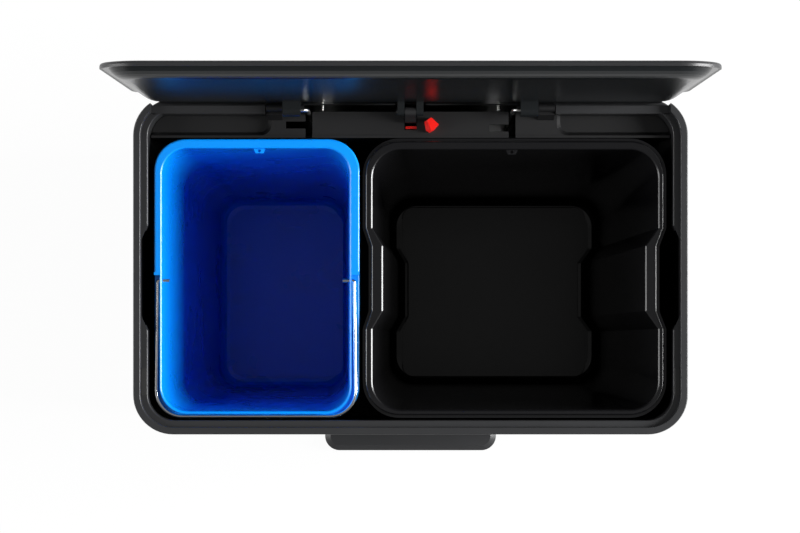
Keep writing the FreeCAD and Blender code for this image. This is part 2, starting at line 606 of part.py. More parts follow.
# ---- lift wire ----
def lift_wire():
    points = [V(-WIRE_END_X, WIRE_TOP_Y, WIRE_TOP_Z), V(-WIRE_X, WIRE_TOP_Y, WIRE_TOP_Z),
              V(-WIRE_X, WIRE_FOOT_Y, WIRE_FOOT_Z), V(WIRE_X, WIRE_FOOT_Y, WIRE_FOOT_Z),
              V(WIRE_X, WIRE_TOP_Y, WIRE_TOP_Z), V(WIRE_END_X, WIRE_TOP_Y, WIRE_TOP_Z)]
    return bent_rod(points, WIRE_R, WIRE_BEND_R)


# ---- stay link ----
def stay_link():
    y, z = LINK_Y, LINK_Z
    toe, back = y - LINK_TOE_FRONT, y + LINK_BACK
    blade = side_plate([(y - 4.2, z), (toe + 2.5, z - 9), (toe, z - 16), (toe, LINK_TOE_Z), (y - 2.0, LINK_TOE_Z),
                        (y - 3.0, z - LINK_TAIL), (y + 3.0, z - LINK_TAIL), (back, LINK_TOE_Z), (back, z)],
                       -LINK_HALF, LINK_HALF)
    eye = rod(V(-LINK_HALF, y, z), V(LINK_HALF, y, z), LINK_BACK)
    reach = LINK_HALF + 0.5 + GUIDE_WALL
    tail = rod(V(-reach, y, z - LINK_TAIL), V(reach, y, z - LINK_TAIL), TAIL_PIN_R)
    bore = rod(V(-LINK_HALF - 1, y, z), V(LINK_HALF + 1, y, z), LINK_PIN_R + RUNNING)
    return fuse([blade, eye, tail]).cut(bore)


def tail_place(closed_by):
    """Where the link's tail pin stands when the lid has closed by some degrees."""
    pin_y, pin_z = crank(LINK_CRANK_R, LINK_CRANK_DEG, closed_by)
    lean = math.radians(closed_by * LINK_SHARE)
    return pin_y + LINK_TAIL * math.sin(lean), pin_z - LINK_TAIL * math.cos(lean)


def link_guide():
    """Bracket under the deck, with a slot in each cheek for the link's tail pin."""
    inner = LINK_HALF + 0.5
    places = [tail_place(OPEN_DEG * i / 6) for i in range(7)]
    low = min(z for _, z in places) - TAIL_PIN_R - 5
    back = max(y for y, _ in places) + TAIL_PIN_R + 1.6
    web_y = DECK_FRONT + LIP_WALL + FIT
    top = LINK_Z - LINK_TAIL + TAIL_PIN_R + 4
    cheek = side_plate([(web_y, DECK_UNDER - 8), (LINK_Y + 4, top), (back, top - 6), (back, low), (web_y, low + 8)],
                       inner, inner + GUIDE_WALL)
    foot = box(inner, inner + 12, web_y, web_y + GUIDE_WALL, DECK_UNDER - 28, DECK_UNDER - 8)
    bridge = box(-inner - 1, inner + 1, web_y, web_y + GUIDE_WALL, DECK_UNDER - 28, DECK_UNDER - 14)
    half = fuse([cheek, foot])
    r = TAIL_PIN_R + TAIL_PLAY
    cuts = []
    for (y0, z0), (y1, z1) in zip(places, places[1:]):
        cuts.append(rod(V(-30, y0, z0), V(30, y0, z0), r))
        cuts.append(rod(V(-30, y1, z1), V(30, y1, z1), r))
        run = math.hypot(y1 - y0, z1 - z0)
        ny, nz = (z1 - z0) / run * r, -(y1 - y0) / run * r
        cuts.append(side_plate([(y0 + ny, z0 + nz), (y1 + ny, z1 + nz), (y1 - ny, z1 - nz), (y0 - ny, z0 - nz)],
                               -30, 30))
    guide = fuse(both_sides(half) + [bridge]).cut(cuts)
    return guide.cut(guide_screws(FIT / 2))


# ---- stay-open latch ----
def stay_open_latch():
    """Turning knob on the deck, with an arm beneath that slides under the link's toe."""
    under = DECK_UNDER - 0.4
    arm_low = under - LATCH_ARM_WALL
    stem = rod(V(LATCH_X, LATCH_Y, arm_low), V(LATCH_X, LATCH_Y, DECK_Z + 1), LATCH_STEM_R)
    arm = box(-BAR_HALF, LATCH_X, BAR_FRONT, BAR_BACK, arm_low, under)
    hub = rod(V(LATCH_X, LATCH_Y, arm_low), V(LATCH_X, LATCH_Y, under), LATCH_STEM_R + 2.5)
    base, top = DECK_Z + 0.4, DECK_Z + 0.4 + KNOB_HEIGHT
    points = [(-6.6, 3.4), (0.6, 7.4), (7.8, 0.6), (2.4, -5.2), (-1.6, -7.2), (-4.8, -5.0)]
    knob = polygon([V(LATCH_X + x, LATCH_Y + y, base) for x, y in points], V(0, 0, top - base))
    facet = side_plate([(LATCH_Y - 20, top + 1), (LATCH_Y + 20, top + 1), (LATCH_Y + 20, base + 4),
                        (LATCH_Y - 20, base + 4)], -12, 0)
    facet.rotate(V(0, LATCH_Y, base + 4), Y_AXIS, 32)
    facet.translate(V(LATCH_X - 6.6, 0, 0))
    facet.rotate(V(LATCH_X - 6.6, LATCH_Y, base), Z_AXIS, 20)
    return fuse([stem, arm, hub, knob.cut(facet)])


def latch_clip():
    low = DECK_UNDER - 0.4 - LATCH_ARM_WALL
    disc = rod(V(LATCH_X, LATCH_Y, low - 1.2), V(LATCH_X, LATCH_Y, low), LATCH_STEM_R + 1)
    return disc


# ---- pedal ----
def tilt(shape):
    turned = shape.copy()
    turned.rotate(V(0, AXLE_Y, AXLE_Z), X_AXIS, LEVER_REST_DEG)
    return turned


def pad_plate():
    """Bevelled pad, flat in the lever's own plane, before it is tilted."""
    half, y0, y1 = PAD_WIDTH / 2, -HALF_D - PAD_REACH, -PAD_BACK
    z0, z1 = AXLE_Z - PAD_HEIGHT / 2, AXLE_Z + PAD_HEIGHT / 2
    outer = (-half, half, y0, -y0)
    top = inset(outer, PAD_BEVEL)
    wires = [outline(outer, PAD_CORNER_R, z0), outline(outer, PAD_CORNER_R, z1 - PAD_BEVEL / 1.4),
             outline(top, PAD_CORNER_R - PAD_BEVEL, z1)]
    return Part.makeLoft(wires, True, True).common(box(-half, half, y0, y1, z0, z1)), (z0, z1)


def pedal_pad():
    plate, (z0, z1) = pad_plate()
    half, y0 = PAD_WIDTH / 2, -HALF_D - PAD_REACH
    pocket = box(-half + PAD_BEVEL + 3, half - PAD_BEVEL - 3, y0 + PAD_BEVEL + 3, -PAD_BACK + 1, z0 - 1, z1 - 4.0)
    drill = [rod(V(seat.x, seat.y, z1 - 8), V(seat.x, seat.y, z1 - 1.5), SCREW_R + FIT / 2) for seat, _ in PAD_SCREWS]
    return tilt(plate.cut([pocket] + drill))


def pedal_lever():
    z0, z1 = AXLE_Z - ARM_HEIGHT / 2, AXLE_Z + ARM_HEIGHT / 2
    y0 = -HALF_D - PAD_REACH + PAD_BEVEL + 3.2
    top = AXLE_Z + PAD_HEIGHT / 2 - 4.0
    arms = [box(s * ARM_X - ARM_WIDTH / 2, s * ARM_X + ARM_WIDTH / 2, -PAD_BACK, AXLE_Y + REAR_ARM - 12,
                z0 + 2, z1 - 2) for s in (-1, 1)]
    tongue = box(-ARM_X - ARM_WIDTH / 2, ARM_X + ARM_WIDTH / 2, y0, -PAD_BACK + 6, top - 4, top - FIT)
    tube = rod(V(-ARM_X, AXLE_Y, AXLE_Z), V(ARM_X, AXLE_Y, AXLE_Z), AXLE_R + 3)
    bar_y = AXLE_Y + REAR_ARM
    ears = [side_plate([(bar_y - 20, z0 + 2), (bar_y + 8, z0 + 1), (bar_y + 8, z1 + 4), (bar_y - 12, z1 + 4),
                        (bar_y - 20, z1 - 2)], s * ARM_X - 2, s * ARM_X + 2) for s in (-1, 1)]
    tie = box(-ARM_X, ARM_X, bar_y - 32, bar_y - 28, z0 + 3, z1 - 3)
    slots = [box(s * ARM_X - 5, s * ARM_X + 5, bar_y - EAR_SLOT_FRONT, bar_y + EAR_SLOT_BACK,
                 AXLE_Z - EAR_SLOT_DOWN, AXLE_Z + EAR_SLOT_UP) for s in (-1, 1)]
    bore = rod(V(-ARM_X - 20, AXLE_Y, AXLE_Z), V(ARM_X + 20, AXLE_Y, AXLE_Z), AXLE_R + RUNNING)
    drill = [rod(V(seat.x, seat.y, top - 10), V(seat.x, seat.y, top), SCREW_R + FIT / 2) for seat, _ in PAD_SCREWS]
    return tilt(fuse(arms + [tongue, tube, tie] + ears).cut(slots + [bore] + drill))


def pad_screws():
    top = AXLE_Z + PAD_HEIGHT / 2 - 4.0
    made = []
    for seat, _ in PAD_SCREWS:
        shank = rod(V(seat.x, seat.y, top - 4), V(seat.x, seat.y, top + 2.2), SCREW_R)
        head = rod(V(seat.x, seat.y, top - 4 - SCREW_HEAD), V(seat.x, seat.y, top - 4), SCREW_HEAD_R)
        made.append(fuse([shank, head]))
    return tilt(Part.makeCompound(made))


def pedal_axle():
    return rod(V(-BLOCK_X1, AXLE_Y, AXLE_Z), V(BLOCK_X1, AXLE_Y, AXLE_Z), AXLE_R)


def axle_blocks():
    top = BASE_TOP - BASE_FLOOR
    block = fuse([box(BLOCK_X0, BLOCK_X1, AXLE_Y - 8, AXLE_Y + 8, AXLE_Z, top),
                  rod(V(BLOCK_X0, AXLE_Y, AXLE_Z), V(BLOCK_X1, AXLE_Y, AXLE_Z), 8.0),
                  box(BLOCK_X0, BLOCK_X1, AXLE_Y - 22, AXLE_Y + 22, top - 6, top)])
    block = block.cut(rod(V(BLOCK_X0 - 1, AXLE_Y, AXLE_Z), V(BLOCK_X1 + 1, AXLE_Y, AXLE_Z), AXLE_R + FIT / 4))
    return Part.makeCompound([drilled(b, BLOCK_SCREWS) for b in both_sides(block)])


# ---- buckets ----
def bucket(outer, mouth, floor, panel, corner_r, waists=(None, None, None)):
    return {"outer": outer, "mouth": mouth, "floor": floor, "panel": panel, "corner": corner_r,
            "mouth_r": corner_r - (mouth[2] - outer[2]),
            "waist_out": waists[0], "waist": waists[1], "waist_panel": waists[2]}


BLUE = bucket(BLUE_OUTER, BLUE_MOUTH, BLUE_FLOOR, BLUE_PANEL, BLUE_CORNER_R)
BLACK = bucket(BLACK_OUTER, BLACK_MOUTH, BLACK_FLOOR, BLACK_PANEL, BLACK_CORNER_R,
               (WAIST_OUTER, WAIST_INNER, WAIST_PANEL))


def bucket_foot(kind):
    return inset(kind["floor"], -BUCKET_WALL)


def tub(kind, grow):
    """Tapered inside of a bucket, grown by the wall for its outside, with a rounded foot."""
    low = BUCKET_FOOT + BUCKET_WALL - grow
    wires = []
    for i in range(BEND_STEPS + 1):
        a = math.radians(90 * i / BEND_STEPS)
        z = low + BUCKET_BEND * (1 - math.cos(a))
        share = (z - low) / (BUCKET_Z - low)
        mouth, floor = kind["mouth"], kind["floor"]
        rect = tuple(f + (m - f) * share for f, m in zip(floor, mouth))
        step = BUCKET_BEND * (1 - math.sin(a)) - grow
        wires.append(outline(inset(rect, step), kind["mouth_r"] - step * 0.5, z, kind["waist"]))
    wires.append(outline(inset(kind["mouth"], -grow), kind["mouth_r"] + grow * 0.5, BUCKET_Z, kind["waist"]))
    return Part.makeLoft(wires, True, True)


def flange(kind, top, reach):
    """Flat band round the mouth with a turned-down lip, its top face at top."""
    outer, r, waist = inset(kind["outer"], -reach), kind["corner"] + reach, kind["waist_out"]
    band = slab(outer, r, top - FLANGE_LIP, top, waist)
    band = band.makeFillet(FLANGE_ROUND, [e for e in band.Edges if e.BoundBox.ZMin > top - 0.1])
    hollow = slab(inset(outer, FLANGE_LIP_WALL), r - FLANGE_LIP_WALL, top - FLANGE_LIP, top - FLANGE, waist)
    return band.cut(hollow)


def raised_panel(kind, grow):
    """Low platform in the floor; grow gives its hollow underside."""
    rect = inset(kind["panel"], grow)
    low = BUCKET_FOOT + BUCKET_WALL - grow
    return slab(rect, PANEL_R, low - BUCKET_WALL - 1 if grow else low - 1, low + PANEL_RISE, kind["waist_panel"])


def mouth_round(kind):
    """Cutter that eases the inner edge of the mouth."""
    steps = ((MOUTH_ROUND, 0.0), (MOUTH_ROUND * 0.4, MOUTH_ROUND * 0.25), (0.0, MOUTH_ROUND))
    wires = [outline(inset(kind["mouth"], -out), kind["mouth_r"] + out, BUCKET_Z - down, kind["waist"])
             for down, out in steps]
    return Part.makeLoft(wires, True, True)


def eyelet(kind, x):
    y = kind["mouth"][3]
    top = BUCKET_Z - EYELET_DROP
    tab = polygon([V(x - EYELET_HALF, y + 1, top - 3), V(x + EYELET_HALF, y + 1, top - 3),
                   V(x + EYELET_HALF * 0.6, y - EYELET_REACH, top - 3),
                   V(x - EYELET_HALF * 0.6, y - EYELET_REACH, top - 3)], V(0, 0, 3))
    return tab.cut(rod(V(x, y - EYELET_REACH + 2.4, top - 5), V(x, y - EYELET_REACH + 2.4, top + 2), EYELET_HOLE_R))


def blue_bucket():
    ledge_z = BUCKET_Z - BAIL_LEDGE_DROP
    x0, x1, y0, y1 = BLUE["outer"]
    back_half = box(x0 - 1, x1 + 1, BAIL_RISE_Y, y1 + 1, ledge_z - 20, BUCKET_Z + 1)
    front_half = box(x0 - 1, x1 + 1, y0 - 1, BAIL_RISE_Y, ledge_z - 20, BUCKET_Z + 1)
    high = flange(BLUE, BUCKET_Z, 0).common(back_half)
    low = flange(BLUE, ledge_z, 0).common(front_half)
    step = slab(BLUE["outer"], BLUE["corner"], ledge_z - FLANGE, BUCKET_Z).common(
        box(x0 - 1, x1 + 1, BAIL_RISE_Y, BAIL_RISE_Y + FLANGE, ledge_z - 20, BUCKET_Z))
    body = tub(BLUE, BUCKET_WALL).fuse([high, low, step]).cut(tub(BLUE, 0))
    body = body.cut(mouth_round(BLUE))
    body = body.fuse([raised_panel(BLUE, 0), eyelet(BLUE, BLUE_EYELET_X)]).cut(raised_panel(BLUE, BUCKET_WALL))
    half = BAIL_R + RUNNING
    holes = [box(x - BAIL_HOOK, x + BAIL_HOOK, BAIL_Y - half, BAIL_Y + half, BAIL_Z - half, BAIL_Z + half)
             for x in BLUE_MOUTH[:2]]
    return body.cut(holes).removeSplitter()


def bail_handle():
    x0, x1, y0, _ = BLUE["mouth"]
    hook_0, hook_1 = x0 + BAIL_HOOK, x1 - BAIL_HOOK
    side_0, side_1 = x0 - BAIL_OUT, x1 + BAIL_OUT
    front = y0 - BAIL_OUT - 0.6
    inner = bent_rod([V(hook_0, BAIL_Y, BAIL_Z), V(side_0, BAIL_Y, BAIL_Z), V(side_0, BAIL_Y - 12, BAIL_Z)],
                     BAIL_R, BAIL_BEND_R)
    mirror_hook = bent_rod([V(hook_1, BAIL_Y, BAIL_Z), V(side_1, BAIL_Y, BAIL_Z), V(side_1, BAIL_Y - 12, BAIL_Z)],
                           BAIL_R, BAIL_BEND_R)
    bow = bent_rod([V(side_0, BAIL_Y - 12, BAIL_Z), V(side_0 - BAIL_SPLAY, front, BAIL_Z),
                    V(side_1 + BAIL_SPLAY, front, BAIL_Z), V(side_1, BAIL_Y - 12, BAIL_Z)], BAIL_R, BAIL_CORNER_R)
    return inner.fuse([mirror_hook, bow]).removeSplitter()


def black_bucket():
    skirt_top = BUCKET_Z - SKIRT_DROP
    rim = flange(BLACK, BUCKET_Z, 0)
    outer = inset(BLACK["outer"], -SKIRT_OUT)
    skirt = slab(outer, BLACK["corner"] + SKIRT_OUT, skirt_top - FLANGE, skirt_top, BLACK["waist_out"])
    skirt = skirt.cut(slab(inset(BLACK["outer"], FLANGE_LIP_WALL / 2), BLACK["corner"] - FLANGE_LIP_WALL / 2,
                           skirt_top - FLANGE, skirt_top, BLACK["waist_out"]))
    body = tub(BLACK, BUCKET_WALL).fuse([rim, skirt]).cut(tub(BLACK, 0)).cut(mouth_round(BLACK))
    body = body.fuse([raised_panel(BLACK, 0), eyelet(BLACK, BLACK_EYELET_X)]).cut(raised_panel(BLACK, BUCKET_WALL))
    return body.removeSplitter()


# ---- fasteners, one node for each kind ----
def screw_group(places):
    return Part.makeCompound(screws(places))


def guide_screw_group():
    return Part.makeCompound(guide_screws(0.0))


NODES = {
    "base_tray": base_tray, "rubber_feet": rubber_feet, "outer_shell": outer_shell, "top_rim": top_rim,
    "rim_bumpers": rim_bumpers, "hinge_deck": hinge_deck, "rear_panel": rear_panel, "hinge_pins": hinge_pins,
    "lid_shell": lid_shell, "lid_liner": lid_liner, "centre_pin": centre_pin, "lift_wire": lift_wire,
    "stay_link": stay_link, "link_guide": link_guide, "stay_open_latch": stay_open_latch,
    "latch_clip": latch_clip, "pedal_lever": pedal_lever, "pedal_pad": pedal_pad, "pad_screws": pad_screws,
    "pedal_axle": pedal_axle, "axle_blocks": axle_blocks, "blue_bucket": blue_bucket,
    "bail_handle": bail_handle, "black_bucket": black_bucket,
    "deck_screws": lambda: screw_group(DECK_SCREWS), "casing_screws": lambda: screw_group(CASING_SCREWS),
    "block_screws": lambda: screw_group(BLOCK_SCREWS), "guide_screws": guide_screw_group,
}


def main():
    os.makedirs("parts", exist_ok=True)
    made = {name: build() for name, build in NODES.items()}
    boxes = [shape.BoundBox for shape in made.values()]
    shift = -(min(b.YMin for b in boxes) + max(b.YMax for b in boxes)) / 2
    for name, shape in made.items():
        shape.translate(V(0, shift, 0))
        shape.exportStep("parts/" + name + ".step")
        print(f"{name:18s} solids {len(shape.Solids)} valid {shape.isValid()} {shape.Volume / 1000:9.2f} cm3")
    print(f"shift in y {shift:.4f}")


main()
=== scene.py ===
import math

import bmesh
import bpy
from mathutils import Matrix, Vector


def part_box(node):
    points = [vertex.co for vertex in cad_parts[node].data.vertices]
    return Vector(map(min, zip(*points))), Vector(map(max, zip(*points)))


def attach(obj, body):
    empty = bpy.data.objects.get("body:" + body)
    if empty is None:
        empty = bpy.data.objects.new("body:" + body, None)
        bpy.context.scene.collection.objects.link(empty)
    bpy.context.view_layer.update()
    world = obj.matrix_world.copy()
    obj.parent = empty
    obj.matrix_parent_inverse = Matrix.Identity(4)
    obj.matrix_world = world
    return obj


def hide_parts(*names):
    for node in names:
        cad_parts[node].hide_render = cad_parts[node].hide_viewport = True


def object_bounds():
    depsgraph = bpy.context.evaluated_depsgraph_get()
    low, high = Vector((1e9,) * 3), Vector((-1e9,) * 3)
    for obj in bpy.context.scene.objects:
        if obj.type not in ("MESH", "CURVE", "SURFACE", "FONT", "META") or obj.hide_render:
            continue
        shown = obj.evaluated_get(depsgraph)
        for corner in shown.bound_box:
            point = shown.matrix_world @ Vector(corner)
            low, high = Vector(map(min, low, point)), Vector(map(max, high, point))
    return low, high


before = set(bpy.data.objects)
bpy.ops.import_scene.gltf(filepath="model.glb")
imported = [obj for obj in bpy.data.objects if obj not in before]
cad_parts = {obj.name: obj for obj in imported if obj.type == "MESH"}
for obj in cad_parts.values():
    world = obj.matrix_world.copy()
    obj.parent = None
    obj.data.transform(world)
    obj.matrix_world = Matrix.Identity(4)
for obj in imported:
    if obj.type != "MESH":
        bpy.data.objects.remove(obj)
cad_low, cad_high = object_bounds()

# ---------------------------------------------------------------------------
# Casing: base tray, wrapped shell and rim collar.
# Moulded charcoal plastic with a fine sand grain. The shell drops over the
# tray and under the collar, and screws through the back hold the three.

MM = 0.001
CLOUD_SCALE, CLOUD_DETAIL = 14.0, 3.0
GRAIN_DETAIL = 1.0
MOTTLE = 0.05


class Term:
    """A socket that can stand in a sum: mask * 2 + 1 adds the Math nodes."""

    def __init__(self, nodes, socket):
        self.nodes, self.socket = nodes, socket

    def maths(self, operation, other):
        return self.nodes.add("ShaderNodeMath", {"operation": operation}, [self, other])

    def __add__(self, other):
        return self.maths("ADD", other)

    def __mul__(self, other):
        return self.maths("MULTIPLY", other)

    __radd__, __rmul__ = __add__, __mul__


class Nodes:
    """A node tree, and the one way in which nodes are added to it."""

    def __init__(self, tree):
        self.tree = tree

    def add(self, kind, settings=None, values=(), output=0):
        """Adds a node, sets it, fills its sockets in order or by name, and returns one output."""
        node = self.tree.nodes.new(kind)
        for key, value in (settings or {}).items():
            setattr(node, key, value)
        filled = values.items() if isinstance(values, dict) else enumerate(values)
        for socket, value in filled:
            terms = value if isinstance(value, list) else [value]
            if isinstance(terms[0], Term):
                for term in terms:
                    self.tree.links.new(term.socket, node.inputs[socket])
            else:
                node.inputs[socket].default_value = value
        return Term(self, node.outputs[output]) if node.outputs else None

    def feed(self, node, socket, term):
        """Links a term to a socket of a node that the tree already has."""
        self.tree.links.new(term.socket, self.tree.nodes[node].inputs[socket])


class Paint(Nodes):
    """One finish: a Principled surface and the nodes that lead to it."""

    SURFACE = "Principled BSDF"

    def __init__(self, name, **plain):
        self.material = bpy.data.materials.new(name)
        self.material.use_nodes = True
        super().__init__(self.material.node_tree)
        for socket, value in plain.items():
            self.tree.nodes[self.SURFACE].inputs[socket.replace("_", " ")].default_value = value

    def noise(self, scale, detail):
        place = self.add("ShaderNodeTexCoord", output="Object")
        return self.add("ShaderNodeTexNoise", None, {"Vector": place, "Scale": scale, "Detail": detail})

    def coat(self, socket, term):
        self.feed(self.SURFACE, socket, term)


def moulded(name, colour, roughness, grain_size, grain_depth, **plain):
    """Moulded plastic: even colour, uneven gloss and a skin of tiny grains."""
    paint = Paint(name, Base_Color=(*colour, 1.0), **plain)
    low, high = roughness
    cloud = paint.noise(CLOUD_SCALE, CLOUD_DETAIL)
    paint.coat("Roughness", cloud * (high - low) + low)
    dark = tuple(c * (1 - MOTTLE) for c in colour)
    light = tuple(min(1.0, c * (1 + MOTTLE)) for c in colour)
    mottled = paint.add("ShaderNodeMix", {"data_type": "RGBA"},
                        {"Factor": cloud, "A": (*dark, 1.0), "B": (*light, 1.0)}, output="Result")
    paint.coat("Base Color", mottled)
    grains = paint.noise(1.0 / grain_size, GRAIN_DETAIL)
    bumpy = paint.add("ShaderNodeBump", None, {"Strength": 1.0, "Distance": grain_depth, "Height": grains})
    paint.coat("Normal", bumpy)
    return paint.material


def finish_with(material, *nodes):
    """Gives pieces of the frame their finish."""
    for name in nodes:
        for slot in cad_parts[name].material_slots:
            slot.material = material


casing_plastic = moulded("charcoal_sand_grain", colour=(0.021, 0.0215, 0.023), roughness=(0.34, 0.42),
                         grain_size=0.9 * MM, grain_depth=0.02 * MM)
finish_with(casing_plastic, "base_tray", "outer_shell", "top_rim")

# ---------------------------------------------------------------------------
# Lid: a crowned outer skin and the dished liner that fits inside it.
# The skin is moulded in the casing's plastic. The liner is a darker, smoother
# moulding, and carries the lugs that it turns on and the ears of the link pin.

liner_plastic = moulded("liner_satin_black", colour=(0.010, 0.0115, 0.0125), roughness=(0.22, 0.27),
                        grain_size=1.4 * MM, grain_depth=0.003 * MM, Specular_IOR_Level=0.32)
finish_with(casing_plastic, "lid_shell")
finish_with(liner_plastic, "lid_liner")

# ---------------------------------------------------------------------------
# Black mouldings behind the buckets and under them, with a satin grain: the
# hinge deck, the panel before the lift wires, the stay link's guide, and the
# pedal's lever with its axle blocks. Screws hold the deck, guide and blocks.

deck_plastic = moulded("deck_satin_black", colour=(0.008, 0.008, 0.0085), roughness=(0.36, 0.46),
                       grain_size=0.9 * MM, grain_depth=0.015 * MM)
finish_with(deck_plastic, "hinge_deck", "rear_panel", "link_guide", "axle_blocks", "pedal_lever")

# ---------------------------------------------------------------------------
# Pedal pad: the bevelled tread that the foot presses.
# Moulded in the casing's plastic, and screwed to the lever's front tongue.

finish_with(casing_plastic, "pedal_pad")

# ---------------------------------------------------------------------------
# Steel small parts: the lift wire is bent from drawn wire, the axle is cropped
# from rod, and these and the latch's clip are zinc plated. The hinge pins in
# the knuckles and the link pin in the lid's ears are blackened.

STREAK_SCALE, STREAK_DETAIL = 220.0, 3.0
STREAK_ROUGHNESS = 0.1


def steel(name, colour, roughness):
    """Bare or plated steel: one metal colour, with streaks that are a little rougher."""
    paint = Paint(name, Base_Color=(*colour, 1.0), Metallic=1.0, Roughness=roughness)
    streak = paint.noise(STREAK_SCALE, STREAK_DETAIL)
    paint.coat("Roughness", streak * STREAK_ROUGHNESS + roughness)
    return paint.material


plated = steel("zinc_plated_steel", colour=(0.62, 0.62, 0.60), roughness=0.22)
blackened = steel("blackened_steel", colour=(0.10, 0.10, 0.105), roughness=0.35)
finish_with(plated, "lift_wire", "pedal_axle", "latch_clip")
finish_with(blackened, "hinge_pins", "centre_pin")

# ---------------------------------------------------------------------------
# Bail: the blue bucket's handle, bent from one chromed wire.
# Its two ends turn in through the sides of the mouth, and when it is down it
# lies round the front half of the rim.

chromed = steel("chromed_wire", colour=(0.80, 0.81, 0.82), roughness=0.06)
finish_with(chromed, "bail_handle")

# ---------------------------------------------------------------------------
# Stay link: a black moulded strut that hangs from the lid's pin.
# Its tail slides in the guide under the deck, and the latch holds its toe.

link_plastic = moulded("link_black", colour=(0.02, 0.02, 0.021), roughness=(0.3, 0.36),
                       grain_size=0.9 * MM, grain_depth=0.01 * MM)
finish_with(link_plastic, "stay_link")

# ---------------------------------------------------------------------------
# Stay-open latch: a bright red knob on the deck, turned by the fingers.
# One moulding with its stem and arm, held under the deck by a steel clip.

latch_red = moulded("latch_red", colour=(0.78, 0.012, 0.008), roughness=(0.22, 0.3),
                    grain_size=0.9 * MM, grain_depth=0.004 * MM)
finish_with(latch_red, "stay_open_latch")

# ---------------------------------------------------------------------------
# Blue bucket: moulded in one, in smooth and glossy polypropylene.
# It stands on the tray with its flange inside the rim, and lifts straight out.

bucket_blue = moulded("bucket_blue", colour=(0.0, 0.27, 0.9), roughness=(0.24, 0.32),
                      grain_size=3.0 * MM, grain_depth=0.01 * MM)
finish_with(bucket_blue, "blue_bucket")

# ---------------------------------------------------------------------------
# Black bucket: the wider of the two, drawn in at the middle of both sides.
# Moulded in one like the blue bucket, smooth and glossy in near black.

bucket_black = moulded("bucket_black", colour=(0.0045, 0.0045, 0.0052), roughness=(0.2, 0.26),
                       grain_size=3.0 * MM, grain_depth=0.004 * MM)
finish_with(bucket_black, "black_bucket")

# ---------------------------------------------------------------------------
# Feet and rim bumpers, moulded in dull black rubber.
# The feet plug into the tray from below, and the bumpers sit on the rim's step.

rubber = moulded("black_rubber", colour=(0.018, 0.018, 0.018), roughness=(0.6, 0.72),
                 grain_size=1.2 * MM, grain_depth=0.03 * MM)
finish_with(rubber, "rubber_feet", "rim_bumpers")

# ---------------------------------------------------------------------------
# Screws: pan heads with a cross recess, rolled from plated wire and driven
# through the deck, the casing's back, the axle blocks, the guide and the pad.

SCREW_HEAD_R, SCREW_HEAD_H, SCREW_SHANK_R = 3.8 * MM, 2.4 * MM, 2.0 * MM
HEAD_SIDES, SHANK_SIDES = 28, 20
RECESS_SPAN, RECESS_WIDTH, RECESS_DEPTH = 4.6 * MM, 0.9 * MM, 1.4 * MM
SCREW_AXES = (Vector((0, 1, 0)), Vector((0, 0, 1)))
SCREW_BODIES = {"deck_screws": "casing", "casing_screws": "casing", "block_screws": "casing",
                "guide_screws": "casing", "pad_screws": "pedal"}
SAME_POINT = 0.001 * MM
HEAD_EDGE = 0.9 * SCREW_HEAD_R


def islands(mesh):
    """Splits a mesh of loose triangles into its separate solids, in the order of their points."""
    joined = bmesh.new()
    joined.from_mesh(mesh)
    bmesh.ops.remove_doubles(joined, verts=joined.verts, dist=SAME_POINT)
    left, found = set(joined.verts), []
    for start in joined.verts:
        if start not in left:
            continue
        left.remove(start)
        reached = [start]
        for point in reached:
            near = [end for end in (edge.other_vert(point) for edge in point.link_edges) if end in left]
            left.difference_update(near)
            reached.extend(near)
        found.append([point.co.copy() for point in reached])
    joined.free()
    return found


def head_of(points):
    """The middle of a screw head's outer face, and the way that the face looks."""
    low = Vector([min(p[i] for p in points) for i in range(3)])
    high = Vector([max(p[i] for p in points) for i in range(3)])
    centre = (low + high) / 2
    way = max(SCREW_AXES, key=(high - low).dot)
    rises = [(p - centre).dot(way) for p in points]
    at_head = [rise for p, rise in zip(points, rises) if (p - centre - way * rise).length > HEAD_EDGE]
    if sum(at_head) < 0:
        return centre + way * min(rises), -way
    return centre + way * max(rises), way


